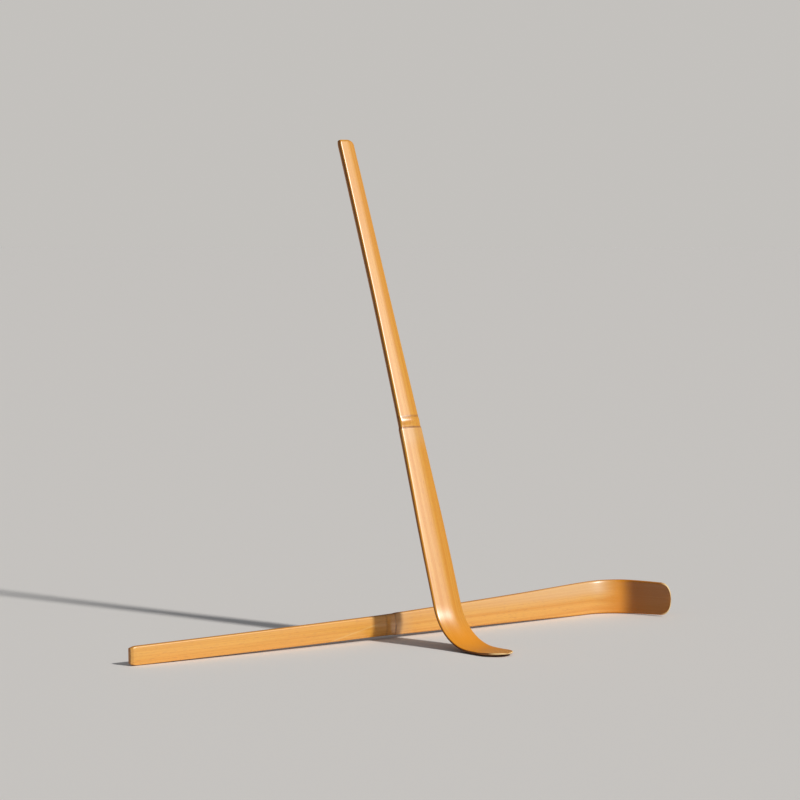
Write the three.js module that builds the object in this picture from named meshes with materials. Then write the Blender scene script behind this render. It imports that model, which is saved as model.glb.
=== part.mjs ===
// A pair of bamboo tea scoops (chashaku). One stands on the flat of its tip, and the other lies behind it
// on one long edge, with its skin side to the front. Each scoop is one strip of bamboo: a slim handle cut
// square at its end, a node about half way along, and a tip that steam has bent up into a shallow bowl.
// Units are millimetres, +Z is up, -Y is the front, and the pair rests on the plane z = 0.
import * as THREE from 'three';

const DEG = Math.PI / 180;

// Driving dimensions of each scoop. Lengths run along the cut back face, from the square end to the tip.
const STANDING = {
  handleLength: 147.9,
  bendRadius: 16.7,
  bendAngle: 71.5 * DEG,
  tipLength: 11.3,
  bowAngle: 1.9 * DEG,
  nodeStation: 92.2,
  nodeStep: 0.45,
  endWidth: 5.2,
  gripWidth: 6.2,
  nodeWidth: 7.65,
  bladeWidth: 10.3,
  neckWidth: 10.7,
  heelWidth: 11.1,
  tipWidth: 10.6,
  endThickness: 1.85,
  nodeThickness: 1.75,
  neckThickness: 1.1,
  tipThickness: 0.85,
};
const LYING = {
  handleLength: 170.3,
  bendRadius: 14.6,
  bendAngle: 71.1 * DEG,
  tipLength: 11.9,
  bowAngle: 5.2 * DEG,
  nodeStation: 91.0,
  nodeStep: 0.25,
  endWidth: 5.65,
  gripWidth: 6.2,
  nodeWidth: 6.5,
  bladeWidth: 9.0,
  neckWidth: 10.9,
  heelWidth: 11.05,
  tipWidth: 10.3,
  endThickness: 1.85,
  nodeThickness: 1.75,
  neckThickness: 1.1,
  tipThickness: 0.85,
};

// Sizes that both scoops share.
const GRIP_SHARE = 0.6;        // the grip width is reached at this share of the way to the node
const BLADE_SHARE = 0.62;      // the blade width is reached at this share of the way from node to bend
const BEND_EASE = 4.0;         // length over which the straight handle passes into the bend
const TIP_ROUND = 3.9;         // length of the rounded end of the tip
const ROUND_POWER = 2.4;       // 2 would be an ellipse, a higher power is squarer
const TIP_END_SHARE = 0.12;    // width left at the very end of the tip, as a share of the tip's width
const EDGE_BEVEL = 0.3;        // shaved corner along every long edge
const SKIN_CROWN = 0.3;        // rise of the rounded skin side above its long edges
const BOWL_DISH = 0.22;        // depth of the hollow across the bowl
const NODE_RIDGE = 0.3;        // height of the raised ring beside the sheath scar
const RIDGE_LENGTH = 3.4;
const SCAR_DEPTH = 0.12;
const SCAR_LENGTH = 0.8;

// Places of the pair. The standing scoop points its tip to the front and right.
const STANDING_HEADING = -50.3 * DEG;
const STANDING_HEEL = new THREE.Vector2(25.0, -5.4);   // where the bend's back meets the ground
const LYING_YAW = 33.9 * DEG;
const LYING_END = new THREE.Vector2(-77.3, -27.6);    // centre of the lying handle's cut end

// Rings of the lofted strip.
const FRONT_POINTS = 7;
const BACK_POINTS = 3;
const GRIP_RINGS = 10;
const NODE_RINGS = 9;
const BLADE_RINGS = 9;
const BEND_RINGS = 14;
const FOOT_RINGS = 2;
const ROUND_RINGS = 8;

// Material of the strip: a warm, lightly polished orange yellow.
function bambooMaterial(colour) {
  return new THREE.MeshStandardMaterial({ color: colour, roughness: 0.38, metalness: 0 });
}

function bendArc(size) {
  return size.bendRadius * size.bendAngle;
}

function totalLength(size) {
  return size.handleLength + bendArc(size) + size.tipLength;
}

// Angle that the strip has turned through when it reaches the tip.
function totalTurn(size) {
  return size.bendAngle - size.bowAngle;
}

// Integral of a linear rise from 0 to 1 that is BEND_EASE long and centred on zero.
function easedRamp(distance) {
  const half = BEND_EASE / 2;
  if (distance <= -half) return 0;
  if (distance >= half) return distance;
  return (distance + half) ** 2 / (2 * BEND_EASE);
}

// Direction of the strip at a station, as an angle above the handle's own direction.
function turnAt(size, station) {
  const bowed = size.bowAngle * Math.min(station / size.handleLength, 1);
  const past = station - size.handleLength;
  return (easedRamp(past) - easedRamp(past - bendArc(size))) / size.bendRadius - bowed;
}

// Smooth curve through [station, value] points, with no overshoot between them.
function smoothThrough(points, station) {
  const last = points.length - 1;
  if (station <= points[0][0]) return points[0][1];
  if (station >= points[last][0]) return points[last][1];
  const slope = (i) => (points[i + 1][1] - points[i][1]) / (points[i + 1][0] - points[i][0]);
  const tangent = (i) => {
    if (i === 0) return slope(0);
    if (i === last) return slope(last - 1);
    const before = slope(i - 1);
    const after = slope(i);
    return before * after <= 0 ? 0 : (2 * before * after) / (before + after);
  };
  const i = points.findIndex((point) => point[0] > station) - 1;
  const span = points[i + 1][0] - points[i][0];
  const t = (station - points[i][0]) / span;
  const startWeight = 2 * t ** 3 - 3 * t ** 2 + 1;
  const rise = (t ** 3 - 2 * t ** 2 + t) * span * tangent(i) + (t ** 3 - t ** 2) * span * tangent(i + 1);
  return startWeight * points[i][1] + (1 - startWeight) * points[i + 1][1] + rise;
}

// Full width of the strip: slim at the grip, a small step at the node, widest at the bowl, round at the tip.
function widthAt(size, station) {
  const node = size.nodeStation;
  const heel = size.handleLength + bendArc(size);
  const outline = [
    [0, size.endWidth],
    [node * GRIP_SHARE, size.gripWidth],
    [node, size.nodeWidth],
    [node + SCAR_LENGTH, size.nodeWidth + size.nodeStep],
    [node + (size.handleLength - node) * BLADE_SHARE, size.bladeWidth],
    [size.handleLength, size.neckWidth],
    [heel, size.heelWidth],
    [totalLength(size), size.tipWidth],
  ];
  const along = (station - totalLength(size) + TIP_ROUND) / TIP_ROUND;
  const rounded = (1 - Math.min(Math.max(along, 0), 1) ** ROUND_POWER) ** (1 / ROUND_POWER);
  return smoothThrough(outline, station) * Math.max(rounded, TIP_END_SHARE);
}

function thicknessAt(size, station) {
  const profile = [
    [0, size.endThickness],
    [size.nodeStation, size.nodeThickness],
    [size.handleLength, size.neckThickness],
    [totalLength(size), size.tipThickness],
  ];
  return smoothThrough(profile, station);
}

// Rise of the skin side above its edges: round on the handle, hollow in the bowl.
function crownAt(size, station) {
  const shape = [
    [0, SKIN_CROWN],
    [size.nodeStation, SKIN_CROWN],
    [size.handleLength, 0],
    [size.handleLength + bendArc(size), -BOWL_DISH],
    [totalLength(size), -BOWL_DISH / 2],
  ];
  return smoothThrough(shape, station);
}

// Raised ring of the node, with the shallow groove of the sheath scar on its tip side.
function nodeReliefAt(size, station) {
  const ridge = (station - size.nodeStation + RIDGE_LENGTH / 2) / (RIDGE_LENGTH / 2);
  const scar = (station - size.nodeStation - SCAR_LENGTH / 2) / (SCAR_LENGTH / 2);
  const hump = (offset) => (Math.abs(offset) < 1 ? Math.cos((offset * Math.PI) / 2) ** 2 : 0);
  return NODE_RIDGE * hump(ridge) - SCAR_DEPTH * hump(scar);
}

// Outline across the strip, as [y, z] points that run round it from the right edge over the skin side.
function sectionAt(size, station) {
  const half = widthAt(size, station) / 2;
  const thickness = thicknessAt(size, station);
  const crown = crownAt(size, station);
  const relief = nodeReliefAt(size, station);
  const bevel = Math.min(EDGE_BEVEL, half / 3, thickness / 3);
  const flat = half - bevel;
  const section = [[half, bevel], [half, thickness - bevel]];
  for (let i = 0; i < FRONT_POINTS; i++) {
    const y = flat - (2 * flat * i) / (FRONT_POINTS - 1);
    section.push([y, thickness + (crown + relief) * (1 - (y / half) ** 2)]);
  }
  section.push([-half, thickness - bevel], [-half, bevel]);
  for (let i = 0; i < BACK_POINTS; i++) {
    section.push([-flat + (2 * flat * i) / (BACK_POINTS - 1), 0]);
  }
  return section;
}

// Stations of the rings: close together at the node, through the bend and round the tip.
function ringStations(size) {
  const heel = size.handleLength + bendArc(size) + BEND_EASE / 2;
  const bendStart = size.handleLength - BEND_EASE / 2;
  const nodeStart = size.nodeStation - RIDGE_LENGTH;
  const nodeEnd = size.nodeStation + SCAR_LENGTH;
  const roundStart = totalLength(size) - TIP_ROUND;
  const stretches = [
    [0, nodeStart, GRIP_RINGS],
    [nodeStart, nodeEnd, NODE_RINGS],
    [nodeEnd, bendStart, BLADE_RINGS],
    [bendStart, heel, BEND_RINGS],
    [heel, roundStart, FOOT_RINGS],
  ];
  const stations = [];
  for (const [from, to, count] of stretches) {
    for (let i = 0; i < count; i++) stations.push(from + ((to - from) * i) / count);
  }
  for (let i = 0; i <= ROUND_RINGS; i++) {
    stations.push(roundStart + TIP_ROUND * Math.sin(((i / ROUND_RINGS) * Math.PI) / 2));
  }
  return stations;
}

// One scoop as a closed loft. Its cut end is at the origin, x runs along the handle's back face towards the
// tip, y across the strip, and z out of the skin side, the way that the tip bends.
function scoopGeometry(size) {
  const stations = ringStations(size);
  const points = [];
  const faces = [];
  let x = 0;
  let z = 0;
  let previous = 0;
  let count = 0;
  for (const station of stations) {
    const middle = turnAt(size, (station + previous) / 2);
    x += (station - previous) * Math.cos(middle);
    z += (station - previous) * Math.sin(middle);
    previous = station;
    const turn = turnAt(size, station);
    const section = sectionAt(size, station);
    count = section.length;
    for (const [across, out] of section) {
      points.push(x - out * Math.sin(turn), across, z + out * Math.cos(turn));
    }
  }
  for (let ring = 0; ring + 1 < stations.length; ring++) {
    for (let i = 0; i < count; i++) {
      const a = ring * count + i;
      const b = ring * count + ((i + 1) % count);
      faces.push(a, b, a + count, b, b + count, a + count);
    }
  }
  const tipRing = (stations.length - 1) * count;
  for (let i = 1; i + 1 < count; i++) {
    faces.push(0, i + 1, i);
    faces.push(tipRing, tipRing + i, tipRing + i + 1);
  }
  const geometry = new THREE.BufferGeometry();
  geometry.setAttribute('position', new THREE.Float32BufferAttribute(points, 3));
  geometry.setIndex(faces);
  geometry.computeVertexNormals();
  return geometry;
}

// Place of the back face at the end of the bend, in the scoop's own x and z.
function heelPoint(size) {
  const heel = size.handleLength + bendArc(size) + BEND_EASE / 2;
  const steps = 400;
  const point = new THREE.Vector2(0, 0);
  for (let i = 0; i < steps; i++) {
    const turn = turnAt(size, ((i + 0.5) / steps) * heel);
    point.x += (Math.cos(turn) * heel) / steps;
    point.y += (Math.sin(turn) * heel) / steps;
  }
  return point;
}

// The standing scoop: turned until its tip is level, then lowered until the tip's back lies on the ground.
function standingScoop() {
  const mesh = new THREE.Mesh(scoopGeometry(STANDING), bambooMaterial(0xe9a957));
  mesh.name = 'standing_scoop';
  const turn = totalTurn(STANDING);
  const heel = heelPoint(STANDING);
  mesh.rotation.y = turn;
  mesh.position.x = -(heel.x * Math.cos(turn) + heel.y * Math.sin(turn));
  mesh.position.z = heel.x * Math.sin(turn) - heel.y * Math.cos(turn);
  const place = new THREE.Group();
  place.rotation.z = STANDING_HEADING;
  place.position.set(STANDING_HEEL.x, STANDING_HEEL.y, 0);
  place.add(mesh);
  return place;
}

// The lying scoop: on edge, with its lower edge level from the cut end to the neck.
function lyingScoop() {
  const mesh = new THREE.Mesh(scoopGeometry(LYING), bambooMaterial(0xe8a653));
  mesh.name = 'lying_scoop';
  mesh.rotation.x = Math.PI / 2;
  const rise = new THREE.Group();
  const flare = (LYING.neckWidth - LYING.endWidth) / 2;
  rise.rotation.y = -Math.atan2(flare, LYING.handleLength);
  rise.add(mesh);
  const place = new THREE.Group();
  place.rotation.z = LYING_YAW;
  place.position.set(LYING_END.x, LYING_END.y, 0);
  place.add(rise);
  place.updateMatrixWorld(true);
  place.position.z = -new THREE.Box3().setFromObject(place, true).min.z;
  return place;
}

// Both scoops, moved so that the origin is below the middle of the pair.
const teaScoops = new THREE.Group();
teaScoops.add(lyingScoop(), standingScoop());
teaScoops.updateMatrixWorld(true);
const box = new THREE.Box3().setFromObject(teaScoops, true);
const middle = box.getCenter(new THREE.Vector3());
teaScoops.position.set(-middle.x, -middle.y, -box.min.z);

export default teaScoops;
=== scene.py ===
# %% [markdown]
# # A pair of bamboo tea scoops
# Each scoop is carved from one strip of bamboo. The strip is split from the cane, shaved to a slim taper,
# cut square at the handle's end and bent over steam at the tip, which makes a shallow bowl for tea.
# One scoop stands on the flat of its tip, and the other lies behind it on one long edge.
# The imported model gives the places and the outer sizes. This lesson makes the fine surface around it.

# %% Load the frame
import math
import bpy
from mathutils import Matrix, Vector


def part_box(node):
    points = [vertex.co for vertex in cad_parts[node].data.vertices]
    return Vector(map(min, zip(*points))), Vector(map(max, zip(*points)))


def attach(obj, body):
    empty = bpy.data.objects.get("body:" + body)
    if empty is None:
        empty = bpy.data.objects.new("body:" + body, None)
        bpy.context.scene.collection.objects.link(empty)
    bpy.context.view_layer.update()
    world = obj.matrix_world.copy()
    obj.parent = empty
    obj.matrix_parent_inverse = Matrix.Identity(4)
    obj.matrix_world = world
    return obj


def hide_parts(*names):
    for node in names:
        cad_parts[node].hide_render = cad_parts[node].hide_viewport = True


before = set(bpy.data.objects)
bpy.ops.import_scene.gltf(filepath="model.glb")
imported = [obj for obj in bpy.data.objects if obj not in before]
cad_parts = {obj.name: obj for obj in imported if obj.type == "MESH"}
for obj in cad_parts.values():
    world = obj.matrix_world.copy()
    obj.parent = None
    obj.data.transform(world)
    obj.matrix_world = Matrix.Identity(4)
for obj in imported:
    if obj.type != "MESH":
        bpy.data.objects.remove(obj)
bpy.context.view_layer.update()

MM = 0.001

# %% [markdown]
# ## The sizes of the two strips
# A scoop maker works from a few sizes: how long the handle is, how tight the bend is, and how wide and
# thick the strip is at each place along it. Lengths are in millimetres along the flat back of the strip,
# from the cut end towards the tip. Widths, and thicknesses at the long edges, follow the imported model's to
# a few tenths of a millimetre. The front's ridge is finer work: near the neck it stands about a millimetre
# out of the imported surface. The standing scoop's tip is also rounder, and its end lifts a little.

# %% Sizes
STANDING = {
    "Handle Length": 147.9, "Bend Radius": 16.7, "Bend Angle": math.radians(71.5), "Tip Length": 11.3,
    "Bow Angle": math.radians(1.9), "Node Station": 92.2, "Node Step": 0.45,
    "End Width": 5.35, "Grip Width": 6.35, "Node Width": 7.8, "Blade Width": 10.4,
    "Neck Width": 10.7, "Heel Width": 11.1, "Tip Width": 10.6,
    "End Thickness": 1.85, "Node Thickness": 1.75, "Neck Thickness": 1.0, "Tip Thickness": 0.7,
    "Ridge Side": 0.18, "Front Slope": 0.14, "Bowl Curl": 0.4, "Left Trim": 0.35, "Right Trim": 1.4,
    "Tip Round": 6.4, "Round Power": 2.0, "Tip Lift": 0.8,
}
LYING = {
    "Handle Length": 170.3, "Bend Radius": 14.6, "Bend Angle": math.radians(71.1), "Tip Length": 11.9,
    "Bow Angle": math.radians(5.2), "Node Station": 91.0, "Node Step": 0.25,
    "End Width": 5.65, "Grip Width": 6.2, "Node Width": 6.5, "Blade Width": 9.0,
    "Neck Width": 10.9, "Heel Width": 11.05, "Tip Width": 10.3,
    "End Thickness": 1.85, "Node Thickness": 1.75, "Neck Thickness": 1.1, "Tip Thickness": 0.85,
    "Ridge Side": 0.1, "Front Slope": 0.19, "Bowl Curl": 0.15, "Left Trim": 0.5, "Right Trim": 0.5,
    "Tip Round": 3.9, "Round Power": 2.7, "Tip Lift": 0.0,
}
GRIP_SHARE = 0.6      # where the grip's width is given, as a share of the way to the node
BLADE_SHARE = 0.62    # where the blade's width is given, as a share of the way from node to neck
BEND_EASE = 4.0       # millimetres over which the bend starts and stops
BOWL_DISH = 0.22      # how deep the bowl is hollowed
NODE_RIDGE = 0.3      # how far the node's ring stands out
RIDGE_LENGTH = 3.4
SCAR_DEPTH = 0.12     # how deep the old sheath's scar is cut
SCAR_LENGTH = 0.8
for title, size in (("standing", STANDING), ("lying", LYING)):
    whole = size["Handle Length"] + size["Bend Radius"] * size["Bend Angle"] + size["Tip Length"]
    print(title, "strip", round(whole, 1), "mm along its back")

# %% [markdown]
# ## Node trees written as sums
# A geometry or shader tree is easier to read as a formula than as a row of boxes. Value wraps one socket
# and turns +, -, *, / and ** into Math nodes, and Net adds every other kind of node by one method.

# %% Value and Net
class Value:
    """One socket of a node tree. Sums on it add Math nodes."""

    def __init__(self, net, socket):
        self.net = net
        self.socket = socket

    def sum(self, operation, *others):
        """A Math node on this socket and, where the operation takes them, on more values."""
        values = {0: self}
        values.update({place + 1: other for place, other in enumerate(others)})
        return self.net.node("ShaderNodeMath", {"operation": operation}, values)

    def __add__(self, other):
        return self.sum("ADD", other)

    __radd__ = __add__

    def __mul__(self, other):
        return self.sum("MULTIPLY", other)

    __rmul__ = __mul__

    def __sub__(self, other):
        return self.sum("SUBTRACT", other)

    def __rsub__(self, other):
        return (self * -1) + other

    def __truediv__(self, other):
        return self.sum("DIVIDE", other)

    def __rtruediv__(self, other):
        return self.net.node("ShaderNodeMath", {"operation": "DIVIDE"}, {0: other, 1: self})

    def __pow__(self, power):
        return self.sum("POWER", power)


class Net:
    """A node tree that is written as formulas."""

    def __init__(self, tree):
        self.tree = tree

    def node(self, kind, settings=None, values=None, output=0):
        """Adds one node, sets it up, fills or links its inputs and gives back one of its outputs."""
        made = self.tree.nodes.new(kind)
        for name, setting in (settings or {}).items():
            setattr(made, name, setting)
        for name, value in (values or {}).items():
            if isinstance(value, Value):
                self.tree.links.new(value.socket, made.inputs[name])
            else:
                made.inputs[name].default_value = value
        return Value(self, made.outputs[output]) if made.outputs else None

    def split(self, vector):
        """The three numbers of a vector."""
        first = self.node("ShaderNodeSeparateXYZ", {}, {0: vector})
        sockets = first.socket.node.outputs
        return [Value(self, socket) for socket in sockets]

    def join(self, x, y, z):
        return self.node("ShaderNodeCombineXYZ", {}, {0: x, 1: y, 2: z})

    def ramp(self, value, start, end, low=0.0, high=1.0, kind="LINEAR"):
        """Low before start, high after end, and a straight or smooth rise between them."""
        values = {"Value": value, "From Min": start, "From Max": end, "To Min": low, "To Max": high}
        return self.node("ShaderNodeMapRange", {"interpolation_type": kind, "clamp": True}, values)


print("sums on sockets:", "+ - * / **")

# %% [markdown]
# ## The carved strip, as a rule
# The strip could be pushed out of a cube by hand, or swept as a curve with a bevel. A curve's bevel keeps
# one outline, and here the width, the thickness and the crown all change along the way, so the strip is
# made by a rule instead. A line of points walks along the strip and turns a little at every step. A grid
# then wraps round it: its long side follows the line, and its short side runs once round the section.

# %% Rule of the centre line
ROWS = 520            # rings along the strip
RING = 112            # points round each ring
CAP_ROWS = 3          # rings that close each end
END_CROWDING = 0.8    # how much closer the rings are at both ends and at the node
TIP_CROWDING = 1.35   # draws the last rings together, where the round of the tip closes fast


def station_of(net, row, length):
    """How far along the strip a ring lies."""
    share = 1 - net.ramp(row, CAP_ROWS, ROWS - 1 - CAP_ROWS, 1.0, 0.0) ** TIP_CROWDING
    wave = (share * (4 * math.pi)).sum("SINE")
    return (share - wave * (END_CROWDING / (4 * math.pi))) * length


def eased(net, distance):
    """A straight rise from zero whose first BEND_EASE millimetres start softly."""
    half = BEND_EASE / 2
    soft = net.ramp(distance, -half, half, 0.0, BEND_EASE)
    return soft * soft / (2 * BEND_EASE) + (distance - half).sum("MAXIMUM", 0.0)


def turn_of(net, station, size):
    """The direction of the strip at a station, above the direction of the cut end."""
    past = station - size["Handle Length"]
    arc = size["Bend Radius"] * size["Bend Angle"]
    bowed = (station / size["Handle Length"]).sum("MINIMUM", 1.0) * size["Bow Angle"]
    return (eased(net, past) - eased(net, past - arc)) / size["Bend Radius"] - bowed


print("a strip has", ROWS, "rings of", RING, "points")

# %% [markdown]
# The width and the thickness follow straight stretches between a few places, and each corner between two
# stretches is softened by taking the mean of the value a little before it and a little after it.

# %% Rules of the section
SOFTEN = 5.0          # millimetres before and after a corner
TRIM_LENGTH = 1.9     # how far down each side a trimmed corner of the cut end reaches
CUT_BEVEL = 0.4       # how much of the thickness the cut end's front edge loses
CUT_LENGTH = 0.7
TIP_THINNING = 0.3    # share of the thickness that the tip loses towards its end
LAST_THINNING = 0.3   # and the share that its very end loses as well, all of it in the last hair's breadth
LAST_POWER = 30
NOSE = 0.9995         # the round of the tip stops just before it would close to a point
RIDGE_SOFT = 0.45     # how softly the two flats of the front meet
SLOPE_AT_CUT = 0.45   # how steep the flats are at the cut end and at the neck, against Front Slope
SLOPE_AT_NECK = 1.35
FLATS_FADE = (5, 18)  # the flats run out between these places, in millimetres after the neck
RING_FALL = 0.6       # share of the node's ring and scar that is gone at the long edges
BOWL_LEAD = 2.0       # how far before the neck the bowl begins
LIFT_LENGTH = 8.0     # how much of the tip curves up at its end


def stretches(net, station, places):
    """Straight stretches through (station, value) places."""
    total = places[0][1]
    for (start, low), (end, high) in zip(places, places[1:]):
        total = total + net.ramp(station, start, end) * (high - low)
    return total


def softened(net, station, places):
    before = stretches(net, station - SOFTEN, places)
    after = stretches(net, station + SOFTEN, places)
    return (before + after) * 0.5


def hump(station, middle, reach):
    """A smooth hump of height 1 that is zero at reach before and after its middle."""
    offset = ((station - middle) / reach).sum("ABSOLUTE").sum("MINIMUM", 1.0)
    wave = (offset * (math.pi / 2)).sum("COSINE")
    return wave * wave


def half_width(net, station, size, length):
    node = size["Node Station"]
    neck = size["Handle Length"]
    heel = neck + size["Bend Radius"] * size["Bend Angle"]
    places = [
        (0.0, size["End Width"]),
        (node * GRIP_SHARE, size["Grip Width"]),
        (node, size["Node Width"]),
        (node + (neck - node) * BLADE_SHARE, size["Blade Width"] - size["Node Step"]),
        (neck, size["Neck Width"] - size["Node Step"]),
        (heel, size["Heel Width"] - size["Node Step"]),
        (length, size["Tip Width"] - size["Node Step"]),
    ]
    step = net.ramp(station, node, node + SCAR_LENGTH) * size["Node Step"]
    near_tip = net.ramp(station, length - size["Tip Round"], length) * NOSE
    power = size["Round Power"]
    rounded = (1 - near_tip ** power) ** (1 / power)
    return (softened(net, station, places) + step) * 0.5 * rounded


def trimmed(net, station, across_wave, size):
    """What the maker's knife takes off both corners of the cut end."""
    left = (across_wave * -1).sum("MAXIMUM", 0.0) * size["Left Trim"]
    right = across_wave.sum("MAXIMUM", 0.0) * size["Right Trim"]
    near_end = net.ramp(station, 0.0, TRIM_LENGTH, 1.0, 0.0)
    return (left - right) * near_end * near_end


def thickness(net, station, size, length):
    places = [
        (0.0, size["End Thickness"]),
        (size["Node Station"], size["Node Thickness"]),
        (size["Handle Length"], size["Neck Thickness"]),
        (length, size["Tip Thickness"]),
    ]
    near_tip = net.ramp(station, length - size["Tip Round"], length)
    thinned = 1 - near_tip * near_tip * TIP_THINNING - near_tip ** LAST_POWER * LAST_THINNING
    bevel = net.ramp(station, 0.0, CUT_LENGTH, CUT_BEVEL, 0.0)
    return softened(net, station, places) * thinned - bevel


def front_rise(net, station, across_wave, half, size):
    """Rise of the front over its long edges: two flats that meet in a soft ridge, and the node's ring."""
    side = size["Ridge Side"]
    left = (across_wave + 1) / (side + 1)
    right = (1 - across_wave) / (1 - side)
    gap = left - right
    roof = (left + right - (gap * gap + RIDGE_SOFT ** 2).sum("SQRT")) * 0.5
    neck = size["Handle Length"]
    first, last = FLATS_FADE
    shaved = net.ramp(station, neck + first, neck + last, 1.0, 0.0, kind="SMOOTHSTEP")
    shaved = shaved * net.ramp(station, 0.0, neck, SLOPE_AT_CUT, SLOPE_AT_NECK)
    node = size["Node Station"]
    ring = hump(station, node - RIDGE_LENGTH / 2, RIDGE_LENGTH / 2) * NODE_RIDGE
    scar = hump(station, node + SCAR_LENGTH / 2, SCAR_LENGTH / 2) * SCAR_DEPTH
    round_front = 1 - across_wave * across_wave * RING_FALL
    return roof * shaved * half * size["Front Slope"] + (ring - scar) * round_front


def bowl_share(net, station, size):
    """Grows from 0 at the handle to 1 in the bowl."""
    neck = size["Handle Length"]
    heel = neck + size["Bend Radius"] * size["Bend Angle"]
    return net.ramp(station, neck - BOWL_LEAD, heel, kind="SMOOTHSTEP")


print("corners of the outline are softened over", 2 * SOFTEN, "mm")

# %% [markdown]
# A ring is a rounded oblong. Two triangle waves, a quarter turn apart, walk across the strip and through
# its thickness, and each one is held softly at its ends. Where both move at once, the edge is round.

# %% Rule of the ring
ACROSS_HOLD = 1.12    # a higher value rests longer on the narrow sides
OUT_HOLD = 6.5        # a higher value spends fewer points on the narrow sides
EDGE_POWER = 5.0      # a higher power makes a sharper long edge


def triangle(share):
    """A wave from -1 at 0 to +1 at a half and back."""
    return 1 - ((share.sum("FRACT") - 0.5).sum("ABSOLUTE") * 4)


def held(wave, hold):
    """The wave, enlarged and held softly between -1 and +1."""
    large = wave * hold
    top = hold / (1 + hold ** EDGE_POWER) ** (1 / EDGE_POWER)
    return large / ((large.sum("ABSOLUTE") ** EDGE_POWER + 1) ** (1 / EDGE_POWER)) / top


print("edge power", EDGE_POWER)

# %% [markdown]
# Three helpers stand between the rules and the tree. The first walks the line along the strip's back, the
# second says how far a point lies across and out at its station, and the third sets it on the line.


# %% Spine and section
def spine_of(net, length, sizes):
    """A line of points that walks along the strip's back and turns a little at every step."""
    index = net.node("GeometryNodeInputIndex")
    here = station_of(net, index, length)
    before = station_of(net, index - 1, length)
    middle = turn_of(net, (here + before) * 0.5, sizes)
    step = here - before
    move = net.join(middle.sum("COSINE") * step, 0.0, middle.sum("SINE") * step)
    walked = net.node("GeometryNodeAccumulateField", {"data_type": "FLOAT_VECTOR"}, {"Value": move})
    line = net.node("GeometryNodeMeshLine", {}, {"Count": ROWS})
    return net.node("GeometryNodeSetPosition", {}, {"Geometry": line, "Position": walked})


def carved_section(net, station, across_wave, out_wave, closing, length, sizes):
    """How far a point lies across the strip and out from its back, and out again with the bowl curled."""
    half = half_width(net, station, sizes, length)
    across = (half * across_wave + trimmed(net, station, across_wave, sizes)) * closing
    bowl = bowl_share(net, station, sizes)
    hollow = bowl * (1 - across_wave * across_wave) * BOWL_DISH
    rise = front_rise(net, station, across_wave, half, sizes) - hollow
    out = (out_wave * closing + 1) * 0.5 * thickness(net, station, sizes, length)
    out = out + rise * out_wave.sum("MAXIMUM", 0.0) * closing
    edge_share = across * 2 / sizes["Heel Width"]
    lifted = net.ramp(station, length - LIFT_LENGTH, length)
    curled = out + bowl * edge_share * edge_share * sizes["Bowl Curl"]
    return across, out, curled + lifted * lifted * sizes["Tip Lift"]


def on_spine(net, spine, row, turn, across, curled):
    """The place of a point: its ring's place on the spine, moved across and out."""
    spine_place = net.node("GeometryNodeInputPosition")
    middle_point = net.node("GeometryNodeSampleIndex", {"data_type": "FLOAT_VECTOR", "domain": "POINT"},
                            {"Geometry": spine, "Value": spine_place, "Index": row})
    x, _, z = net.split(middle_point)
    return net.join(x - turn.sum("SINE") * curled, across, z + turn.sum("COSINE") * curled)


def stored(net, shape, name, value, kind="FLOAT", domain="POINT"):
    """The shape, with a value kept on it under a name."""
    return net.node("GeometryNodeStoreNamedAttribute", {"data_type": kind, "domain": domain},
                    {"Geometry": shape, "Name": name, "Value": value})


# %% [markdown]
# The tree puts the rules together. Both scoops share it, and every size is one of its named inputs, so a
# third scoop would only need another list of sizes. It also stores, at each point, its place on the strip
# and whether it is on the skin, because the material needs both.


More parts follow.
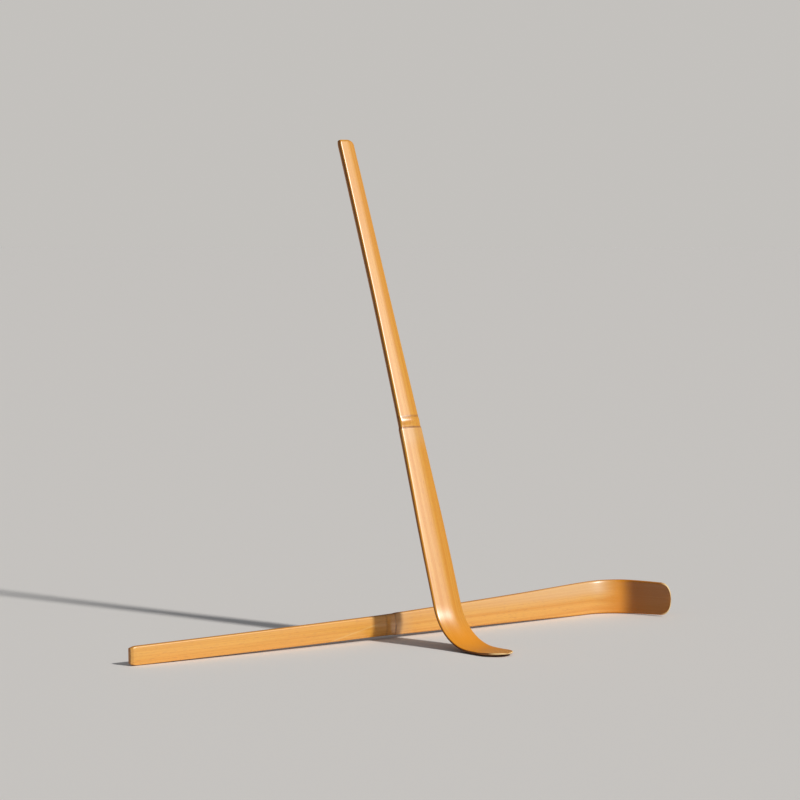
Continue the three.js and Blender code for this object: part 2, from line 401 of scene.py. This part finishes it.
# %% The tree
def strip_tree(size):
    """A geometry tree that carves one strip, with a named input for each size."""
    tree = bpy.data.node_groups.new("carved_strip", "GeometryNodeTree")
    for label in size:
        tree.interface.new_socket(label, in_out="INPUT", socket_type="NodeSocketFloat")
    tree.interface.new_socket("Material", in_out="INPUT", socket_type="NodeSocketMaterial")
    tree.interface.new_socket("Geometry", in_out="OUTPUT", socket_type="NodeSocketGeometry")
    net = Net(tree)
    given = tree.nodes.new("NodeGroupInput")
    sizes = {label: Value(net, given.outputs[label]) for label in size}
    length = sizes["Handle Length"] + sizes["Bend Radius"] * sizes["Bend Angle"] + sizes["Tip Length"]
    spine = spine_of(net, length, sizes)

    grid = net.node("GeometryNodeMeshGrid", {},
                    {"Size X": 1.0, "Size Y": 1.0, "Vertices X": ROWS, "Vertices Y": RING + 1})
    along_share, round_share, _ = net.split(net.node("GeometryNodeInputPosition"))
    row = ((along_share + 0.5) * (ROWS - 1)).sum("ROUND")
    turn_share = round_share + 0.5
    across_wave = held(triangle(turn_share), ACROSS_HOLD)
    out_wave = held(triangle(turn_share + 0.25), OUT_HOLD)
    closing = net.ramp(row, 0, CAP_ROWS) * net.ramp(row, ROWS - 1 - CAP_ROWS, ROWS - 1, 1.0, 0.0)
    station = station_of(net, row, length)
    across, out, curled = carved_section(net, station, across_wave, out_wave, closing, length, sizes)
    carved = on_spine(net, spine, row, turn_of(net, station, sizes), across, curled)

    shape = stored(net, grid, "strip", net.join(station, across, out), "FLOAT_VECTOR")
    shape = stored(net, shape, "skin", out_wave * closing)
    unrolled = net.join(turn_share, along_share + 0.5, 0.0)
    shape = stored(net, shape, "UVMap", unrolled, "FLOAT2", "CORNER")
    metres = net.node("ShaderNodeVectorMath", {"operation": "SCALE"}, {0: carved, "Scale": MM})
    shape = net.node("GeometryNodeSetPosition", {}, {"Geometry": shape, "Position": metres})
    shape = net.node("GeometryNodeMergeByDistance", {}, {"Geometry": shape, "Distance": 0.001 * MM})
    shape = net.node("GeometryNodeSetShadeSmooth", {}, {"Geometry": shape})
    shape = net.node("GeometryNodeRealizeInstances", {}, {"Geometry": shape})
    material = Value(net, given.outputs["Material"])
    shape = net.node("GeometryNodeSetMaterial", {}, {"Geometry": shape, "Material": material})
    result = tree.nodes.new("NodeGroupOutput")
    tree.links.new(shape.socket, result.inputs["Geometry"])
    return tree


STRIP_TREE = strip_tree(STANDING)
print("strip tree", len(STRIP_TREE.nodes), "nodes")

# %% [markdown]
# ## Colours
# Colours are written as a paint shop would read them, from 0 to 255, and turned into the linear values
# that the shader needs.

# %% Colour helper
def colour(red, green, blue):
    """A linear colour from three display values."""
    parts = []
    for shown in (red, green, blue):
        part = shown / 255
        parts.append(part / 12.92 if part <= 0.04045 else ((part + 0.055) / 1.055) ** 2.4)
    return (*parts, 1.0)


print("a middle grey of 128 is", round(colour(128, 128, 128)[0], 3), "for the shader")

# %% [markdown]
# ## Polished bamboo
# The skin of the cane is a dense, smooth layer with very fine straight fibres. The back and the narrow
# sides are cut through the softer wood, where darker strands show. A flat pattern of bamboo would be
# quick, but it would not follow the bend, so noise is drawn out along the strip instead. The material
# reads the place that the tree stored at every point: along, across and out, in millimetres.

# %% Palette
FLECK = colour(206, 122, 38)
CUT_DARK = colour(196, 126, 60)
CUT_PALE = colour(218, 154, 88)
STRAND = colour(128, 72, 30)
# This colour is partly the real rind next to the skin and partly painted shade on the narrow sides.
RIND_AND_SHADE = colour(98, 52, 20)             # the dark line where the skin meets the cut side
STEAMED_SKIN = colour(246, 156, 2)
STEAMED_CUT_PALE = colour(214, 132, 40)
# The dark steamed cut tone is painted shade on the standing scoop's narrow sides and the back of its bend.
STEAMED_CUT_SHADED = colour(96, 46, 18)
# Painted shade: the deep brown in the lying scoop's bowl.
BOWL_SHADE_BROWN = colour(124, 62, 2)
# Painted highlight: the pale line along the tip's end edge.
TIP_EDGE_HIGHLIGHT = colour(255, 222, 160)
WAX = colour(232, 186, 128)
# Painted highlight: the pale tone on the upper half of the lying scoop's blade.
BLADE_HIGHLIGHT_TONE = colour(242, 202, 152)
SCAR_BROWN = colour(124, 58, 22)
KNIFE_LINE = colour(255, 222, 150)
FIBRE_ALONG = 0.012     # noise steps in a millimetre along the strip: a fibre is about 80 mm long
SCAR_WANDER = 0.25      # millimetres that the scar strays from a straight line
print("fibres are about", round(1 / FIBRE_ALONG), "mm long")


# %% Fibres
def grain(net, place, along_scale, across_scale, seed, detail):
    """Noise that is drawn out along the strip."""
    along, across, out = place
    drawn = net.join(along * along_scale + seed, across * across_scale, out * across_scale)
    return net.node("ShaderNodeTexNoise", {"noise_dimensions": "3D"},
                    {"Vector": drawn, "Scale": 1.0, "Detail": detail, "Roughness": 0.6})


def mixed(net, share, first, second):
    """One colour or another, by a share between 0 and 1."""
    return net.node("ShaderNodeMix", {"data_type": "RGBA"}, {0: share, 6: first, 7: second}, output=2)


def between(share, first, second):
    """A colour between two others, worked out here."""
    return tuple(a + (b - a) * share for a, b in zip(first, second))


def fibres(net, place, seed):
    """The fine and broad fibres, where they are pale, the dark strands, the clouds and the flecks."""
    fine = grain(net, place, FIBRE_ALONG, 2.6, seed, 4.0)
    broad = grain(net, place, FIBRE_ALONG / 2, 0.9, seed + 7, 2.0)
    strand = grain(net, place, 0.05, 2.6, seed + 13, 2.0)
    cloud = grain(net, place, 0.03, 0.15, seed + 19, 1.0)
    fleck = grain(net, place, 0.55, 4.5, seed + 23, 2.0)
    return {"fine": fine, "broad": broad,
            "pale": net.ramp(fine * 0.6 + broad * 0.4, 0.36, 0.64, kind="SMOOTHSTEP"),
            "strand": net.ramp(strand, 0.55, 0.68, kind="SMOOTHSTEP"),
            "cloud": net.ramp(cloud, 0.4, 0.7, 0.0, 0.4),
            "fleck": net.ramp(fleck, 0.56, 0.68, kind="SMOOTHSTEP")}


def bare_bamboo(net, drawn, skin, on_skin, look):
    """Skin in front and cut wood at the sides and back, partly darkened as painted shade, before the bend.
    """
    dark_skin, pale_skin, cloudy_skin = look["skin"]
    skin_colour = mixed(net, drawn["pale"], dark_skin, pale_skin)
    skin_colour = mixed(net, drawn["cloud"], skin_colour, cloudy_skin)
    skin_colour = mixed(net, drawn["fleck"] * 0.4, skin_colour, FLECK)
    cut_colour = mixed(net, drawn["pale"], CUT_DARK, CUT_PALE)
    cut_colour = mixed(net, drawn["strand"] * 0.55, cut_colour, STRAND)
    # Partly the real rind, denser fibres next to the skin, and partly painted shade: the look's edge sets
    # how dark the narrow sides are painted.
    rind_and_shade = net.ramp(skin, -0.75, 0.35, kind="SMOOTHSTEP")
    cut_colour = mixed(net, rind_and_shade * (0.62 * look["edge"]), cut_colour, RIND_AND_SHADE)
    return mixed(net, on_skin, cut_colour, skin_colour)


# %% [markdown]
# ### Heat, age and painted light
# Steam leaves a deeper amber at the bend, and the lying scoop's bowl has painted shade, a deep brown.
# The old sheath leaves a dark scar at the node with a pale waxy zone below it, and the tip's end edge
# has a painted highlight.
# Each of them is a share between 0 and 1 that depends on the station, so it always sits at its place on
# the strip, however the strip is bent.


# %% Heat and painted shade
def amber_and_shade(net, body, along, on_skin, look, neck, heel):
    """Steam's amber, and painted shade on the cut sides and in the bowl. Gives the colour and both shares.
    """
    steamed = net.ramp(along, neck + 2, neck + 14, kind="SMOOTHSTEP")
    steamed = steamed * net.ramp(along, heel - 2, heel + 7, 1.0, 0.6, kind="SMOOTHSTEP")
    # Painted shade: the look's edge also darkens the cut sides and the back of the bend.
    cut_amber = between(look["edge"], STEAMED_CUT_PALE, STEAMED_CUT_SHADED)
    amber = mixed(net, on_skin, cut_amber, STEAMED_SKIN)
    body = mixed(net, steamed * 0.92, body, amber)
    # Painted shade in the bowl, a deep brown, as strong as the look's share for it.
    bowl_shaded = net.ramp(along, heel - 7, heel - 1, kind="SMOOTHSTEP") * on_skin
    return mixed(net, bowl_shaded * look["bowl_shade"], body, BOWL_SHADE_BROWN), steamed, bowl_shaded


# %% Marks and a painted highlight
def with_blade_highlight(net, body, along, across, skin_before_bend, highlight_sides, node, neck):
    """A painted highlight on one half of the blade. It grows from the node to the neck."""
    low, high = highlight_sides
    blade_highlight = net.ramp(across, low, high, kind="SMOOTHSTEP") * net.ramp(along, node - 20, neck, 0.2, 1.0)
    return mixed(net, blade_highlight * skin_before_bend * 0.65, body, BLADE_HIGHLIGHT_TONE)


def scarred(net, body, place, seed, node, strength):
    """The thin dark scar of the sheath, and a fainter line at the other side of the node's ring."""
    along = place[0]
    wander = grain(net, place, 0.0, 0.5, seed + 29, 2.0) - 0.5
    scar_offset = (along - (node + SCAR_LENGTH / 2) + wander * SCAR_WANDER).sum("ABSOLUTE")
    scar = net.ramp(scar_offset, 0.1, 0.42, 1.0, 0.0, kind="SMOOTHSTEP")
    second_offset = (along - (node - RIDGE_LENGTH + 0.4) + wander).sum("ABSOLUTE")
    second = net.ramp(second_offset, 0.1, 0.6, 0.4, 0.0, kind="SMOOTHSTEP")
    patchy = net.ramp(grain(net, place, 0.0, 0.35, seed + 31, 1.0), 0.35, 0.6, 0.45, 0.85)
    mark = (scar * patchy).sum("MAXIMUM", second) * strength
    return mixed(net, mark, body, SCAR_BROWN)


def nicked(net, body, along, across, on_skin, knife):
    """A faint line where a knife slipped, from one (along, across) place to another."""
    (start, low), (stop, high) = knife
    path = net.ramp(along, start, stop, low, high)
    nick = net.ramp((across - path).sum("ABSOLUTE"), 0.08, 0.3, 1.0, 0.0, kind="SMOOTHSTEP")
    nick = nick * net.ramp(along, start, start + 2) * net.ramp(along, stop - 8, stop, 1.0, 0.0) * on_skin
    return mixed(net, nick * 0.3, body, KNIFE_LINE)


# %% [markdown]
# The front is polished, so it has a clear coat, and the cut wood is duller. The coat is thinner where the
# heat has opened the skin, and in the bowl where its shade is painted. The fibres also go into the
# roughness and a very low bump, because that breaks the highlight into fine lines as real bamboo does.


# %% Bamboo material
def bamboo(name, size, look):
    """Polished bamboo on one strip, with the tones and marks that its look gives."""
    material = bpy.data.materials.new(name)
    material.use_nodes = True
    material.node_tree.nodes.clear()
    net = Net(material.node_tree)
    place = net.split(net.node("ShaderNodeAttribute", {"attribute_name": "strip"}, output="Vector"))
    along, across, _ = place
    skin = net.node("ShaderNodeAttribute", {"attribute_name": "skin"}, output="Fac")
    node = size["Node Station"]
    neck = size["Handle Length"]
    heel = neck + size["Bend Radius"] * size["Bend Angle"]
    end = heel + size["Tip Length"]
    at_tip = net.ramp(along, end - size["Tip Round"] - 0.5, end - size["Tip Round"] + 1.5)
    on_skin = net.ramp(skin, 0.45 + at_tip * 0.35, 0.75 + at_tip * 0.22, kind="SMOOTHSTEP")

    drawn = fibres(net, place, look["seed"])
    body = bare_bamboo(net, drawn, skin, on_skin, look)
    body, steamed, bowl_shaded = amber_and_shade(net, body, along, on_skin, look, neck, heel)
    # Painted highlight on the tip's end edge, along its back and sides.
    rim = net.ramp(along, end - 3.4, end - 1.6) * (1 - on_skin) * net.ramp(skin, -0.8, -0.2)
    body = mixed(net, rim, body, TIP_EDGE_HIGHLIGHT)
    waxy = net.ramp(along, node, node + 0.8) * net.ramp(along, node + 3, node + 7.5, 1.0, 0.0)
    body = mixed(net, waxy * on_skin * 0.35, body, WAX)
    # Painted highlight on the upper half of the lying scoop's blade.
    if "blade_highlight" in look:
        skin_before_bend = (1 - steamed) * (1 - bowl_shaded) * on_skin
        body = with_blade_highlight(net, body, along, across, skin_before_bend, look["blade_highlight"], node, neck)
    body = scarred(net, body, place, look["seed"], node, look["node mark"])
    if "knife" in look:
        body = nicked(net, body, along, across, on_skin, look["knife"])

    fleck, strand = drawn["fleck"], drawn["strand"]
    roughness = 0.43 + (1 - on_skin) * 0.12 + (drawn["fine"] - 0.5) * 0.14 + fleck * 0.12
    relief = drawn["fine"] * 0.5 + drawn["broad"] * 0.3 - strand * (1 - on_skin) * 0.4 - fleck * 0.2
    bump = net.node("ShaderNodeBump", {}, {"Strength": 0.3, "Distance": 0.04 * MM, "Height": relief})
    polish = net.ramp(skin, 0.8, 0.98) * (1 - steamed * 0.5) * (drawn["pale"] * 0.3 + 0.7)
    polish = polish * (1 - bowl_shaded * (0.7 * look["bowl_shade"]))
    surface = net.node("ShaderNodeBsdfPrincipled", {}, {
        "Base Color": body, "Roughness": roughness, "Normal": bump, "IOR": 1.5, "Specular IOR Level": 0.35,
        "Coat Weight": polish + 0.05, "Coat IOR": 2.1, "Coat Roughness": 0.32})
    net.node("ShaderNodeOutputMaterial", {}, {"Surface": surface})
    print("material", name, len(material.node_tree.nodes), "nodes")
    return material


# %% [markdown]
# ## Carving both strips
# The modifier carves the strip at the origin, along X. Its result is kept as a plain mesh, turned the way
# the scoop rests and moved to its place. The place comes from a plainer strip, without trimmed corners,
# curl or lift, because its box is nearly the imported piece's box.

# %% Carve
PLAIN = {"Ridge Side": 0.0, "Front Slope": 0.06, "Bowl Curl": 0.0, "Left Trim": 0.0, "Right Trim": 0.0,
         "Tip Round": 3.9, "Round Power": 2.4, "Tip Lift": 0.0}
SIDE_STEP = 0.2 * MM       # both scoops are moved this far to the right of their packed boxes' middle
SHARP_EDGE = math.radians(55)


def carved_mesh(name, size, material):
    """One strip as a plain mesh, at the origin."""
    host = bpy.data.objects.new(name + "_rule", bpy.data.meshes.new(name + "_rule"))
    bpy.context.scene.collection.objects.link(host)
    modifier = host.modifiers.new("carve", "NODES")
    modifier.node_group = STRIP_TREE
    for item in STRIP_TREE.interface.items_tree:
        if item.item_type == "SOCKET" and item.in_out == "INPUT":
            modifier[item.identifier] = size.get(item.name, material)
    depsgraph = bpy.context.evaluated_depsgraph_get()
    mesh = bpy.data.meshes.new_from_object(host.evaluated_get(depsgraph), preserve_all_data_layers=True,
                                           depsgraph=depsgraph)
    host.modifiers.remove(modifier)
    bpy.data.objects.remove(host)
    mesh.name = name
    return mesh


def corners_of(mesh):
    points = [vertex.co for vertex in mesh.vertices]
    return (Vector([min(p[i] for p in points) for i in range(3)]),
            Vector([max(p[i] for p in points) for i in range(3)]))


def carve(name, size, material, turned, node):
    """Carves a strip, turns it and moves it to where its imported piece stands."""
    plain = carved_mesh(name + "_plain", {**size, **PLAIN}, material)
    plain.transform(turned)
    low, high = corners_of(plain)
    bpy.data.meshes.remove(plain)
    node_low, node_high = (Vector(corner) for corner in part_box(node))
    shift = (node_low + node_high - low - high) / 2
    shift.z = node_low.z - low.z
    shift.x += SIDE_STEP
    mesh = carved_mesh(name, size, material)
    mesh.transform(Matrix.Translation(shift) @ turned)
    mesh.transform(Matrix.Translation((0, 0, node_low.z - corners_of(mesh)[0].z)))
    mesh.set_sharp_from_angle(angle=SHARP_EDGE)
    piece = bpy.data.objects.new(name, mesh)
    bpy.context.scene.collection.objects.link(piece)
    low, high = corners_of(mesh)
    print(name, len(mesh.polygons), "faces, box", [round(v / MM, 2) for v in high - low],
          "mm, packed", [round(v / MM, 2) for v in node_high - node_low], "mm")
    return piece


# %% [markdown]
# ## The two looks
# No two strips are the same. The standing scoop's narrow sides are darker, partly rind and partly painted
# shade, and it has a clear mark at its node. The lying one is paler, with a painted highlight on the upper
# half of its blade, painted shade in its bowl and the trace of a knife.

# %% Looks
# edge: rind line and painted shade on the sides; bowl share: painted shade; blade range: painted highlight.
STANDING_LOOK = {"seed": 3.0, "edge": 1.0, "node mark": 1.0, "bowl_shade": 0.0,
                 "skin": (colour(225, 148, 26), colour(239, 171, 42), colour(232, 154, 38))}
LYING_LOOK = {"seed": 11.0, "edge": 0.15, "node mark": 0.6, "bowl_shade": 0.75,
              "skin": (colour(234, 158, 40), colour(250, 182, 58), colour(244, 164, 52)),
              "knife": ((67.0, -2.9), (89.0, 1.7)), "blade_highlight": (-1.0, 2.8)}
standing_bamboo = bamboo("standing_bamboo_polished", STANDING, STANDING_LOOK)
lying_bamboo = bamboo("lying_bamboo_polished", LYING, LYING_LOOK)

# %% [markdown]
# ## Placing the pair
# The standing scoop is turned until its tip is level, so its handle leans back by what the bend lacks to
# a right angle. The lying one is rolled on its side and then tipped by its own taper, because its long
# edge, and not its middle line, lies on the floor.

# %% Pair
HEADING = math.radians(-50.3)
LYING_YAW = math.radians(33.9)

tip_level = Matrix.Rotation(STANDING["Bend Angle"] - STANDING["Bow Angle"], 4, "Y")
upright = Matrix.Rotation(HEADING, 4, "Z") @ tip_level
standing = carve("standing_scoop_carved", STANDING, standing_bamboo, upright, "standing_scoop")

flare = (LYING["Neck Width"] - LYING["End Width"]) / 2
edge_level = Matrix.Rotation(-math.atan2(flare, LYING["Handle Length"]), 4, "Y")
on_edge = Matrix.Rotation(math.pi / 2, 4, "X")
lain_down = Matrix.Rotation(LYING_YAW, 4, "Z") @ edge_level @ on_edge
lying = carve("lying_scoop_carved", LYING, lying_bamboo, lain_down, "lying_scoop")

for piece, node, body, slot in ((standing, "standing_scoop", "standing", "standing_bamboo"),
                                (lying, "lying_scoop", "lying", "lying_bamboo")):
    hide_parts(node)
    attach(piece, body)

# %% [markdown]
# ## Floor, light and camera
# A plain pale floor runs out to the horizon. A curved paper sweep would also hide the edge of the floor,
# but it would meet the light at another angle, so the floor is simply very large.

# %% Floor
FLOOR_REACH = 60.0
FLOOR_COLOUR = colour(238, 236, 233)


def pale_floor():
    mesh = bpy.data.meshes.new("floor")
    corners = [(-FLOOR_REACH, -FLOOR_REACH, 0), (FLOOR_REACH, -FLOOR_REACH, 0),
               (FLOOR_REACH, FLOOR_REACH, 0), (-FLOOR_REACH, FLOOR_REACH, 0)]
    mesh.from_pydata(corners, [], [(0, 1, 2, 3)])
    floor = bpy.data.objects.new("floor", mesh)
    bpy.context.scene.collection.objects.link(floor)
    material = bpy.data.materials.new("pale_floor")
    material.use_nodes = True
    shader = material.node_tree.nodes["Principled BSDF"]
    shader.inputs["Base Color"].default_value = FLOOR_COLOUR
    shader.inputs["Roughness"].default_value = 0.9
    shader.inputs["Specular IOR Level"].default_value = 0.1
    mesh.materials.append(material)
    print("floor", 2 * FLOOR_REACH, "m wide")


pale_floor()

# %% [markdown]
# One even light comes from the right of the front, as from a studio lamp that stands far away, so the
# floor has the same tone everywhere. A second, weak and very soft one from above fills the shadows. The
# sky lights the pair only dimly, but what the camera sees of it has the tone of the floor, so that no
# horizon shows. That is why the world mixes two backgrounds by the kind of ray.

# %% Light
KEY_POWER = 2.42
SKY_POWER = 0.16
SKY_SEEN = (0.549, 0.533, 0.511)


def far_lamp(name, azimuth, elevation, spread, power, tint=(1, 1, 1)):
    """A lamp so far away that its light is even. Azimuth 0 is the right, and -90 is the front."""
    lamp = bpy.data.lights.new(name, "SUN")
    lamp.energy = power
    lamp.angle = math.radians(spread)
    lamp.color = tint
    thing = bpy.data.objects.new(name, lamp)
    a, e = math.radians(azimuth), math.radians(elevation)
    way = Vector((math.cos(a) * math.cos(e), math.sin(a) * math.cos(e), math.sin(e)))
    thing.location = way
    thing.rotation_euler = way.to_track_quat("Z", "Y").to_euler()
    bpy.context.scene.collection.objects.link(thing)
    print("lamp", name, "power", power, "spread", spread, "degrees")


far_lamp("key", -35, 38, 4.0, KEY_POWER, (1.0, 0.97, 0.93))
far_lamp("top", -20, 75, 30.0, 0.15)

world = bpy.data.worlds.new("studio")
world.use_nodes = True
world.node_tree.nodes.clear()
sky = Net(world.node_tree)
seen = sky.node("ShaderNodeLightPath", output="Is Camera Ray")
dim = sky.node("ShaderNodeBackground", {}, {"Color": (0.9, 0.93, 1.0, 1), "Strength": SKY_POWER})
plain = sky.node("ShaderNodeBackground", {}, {"Color": (*SKY_SEEN, 1), "Strength": 1.0})
both = sky.node("ShaderNodeMixShader", {}, {0: seen, 1: dim, 2: plain})
sky.node("ShaderNodeOutputWorld", {}, {"Surface": both})
bpy.context.scene.world = world
bpy.context.scene.view_settings.view_transform = "Standard"

# %% [markdown]
# The camera stands a little above the floor and looks almost level. A long lens, rather far away, keeps
# the nearer and the farther end of each scoop in their true proportions.

# %% Camera
CAMERA_DISTANCE = 0.761
CAMERA_ELEVATION = math.radians(3.48)
AIM = Vector((-0.0047, -0.0237, 0.0738))

camera_data = bpy.data.cameras.new("camera")
camera_data.lens = 117
camera_data.sensor_width = 36
camera_data.clip_start = 0.01
camera = bpy.data.objects.new("camera", camera_data)
back = Vector((0, -math.cos(CAMERA_ELEVATION), math.sin(CAMERA_ELEVATION)))
camera.location = AIM + back * CAMERA_DISTANCE
camera.rotation_euler = back.to_track_quat("Z", "Y").to_euler()
bpy.context.scene.collection.objects.link(camera)
bpy.context.scene.camera = camera
print("camera", camera_data.lens, "mm lens,", CAMERA_DISTANCE, "m away")
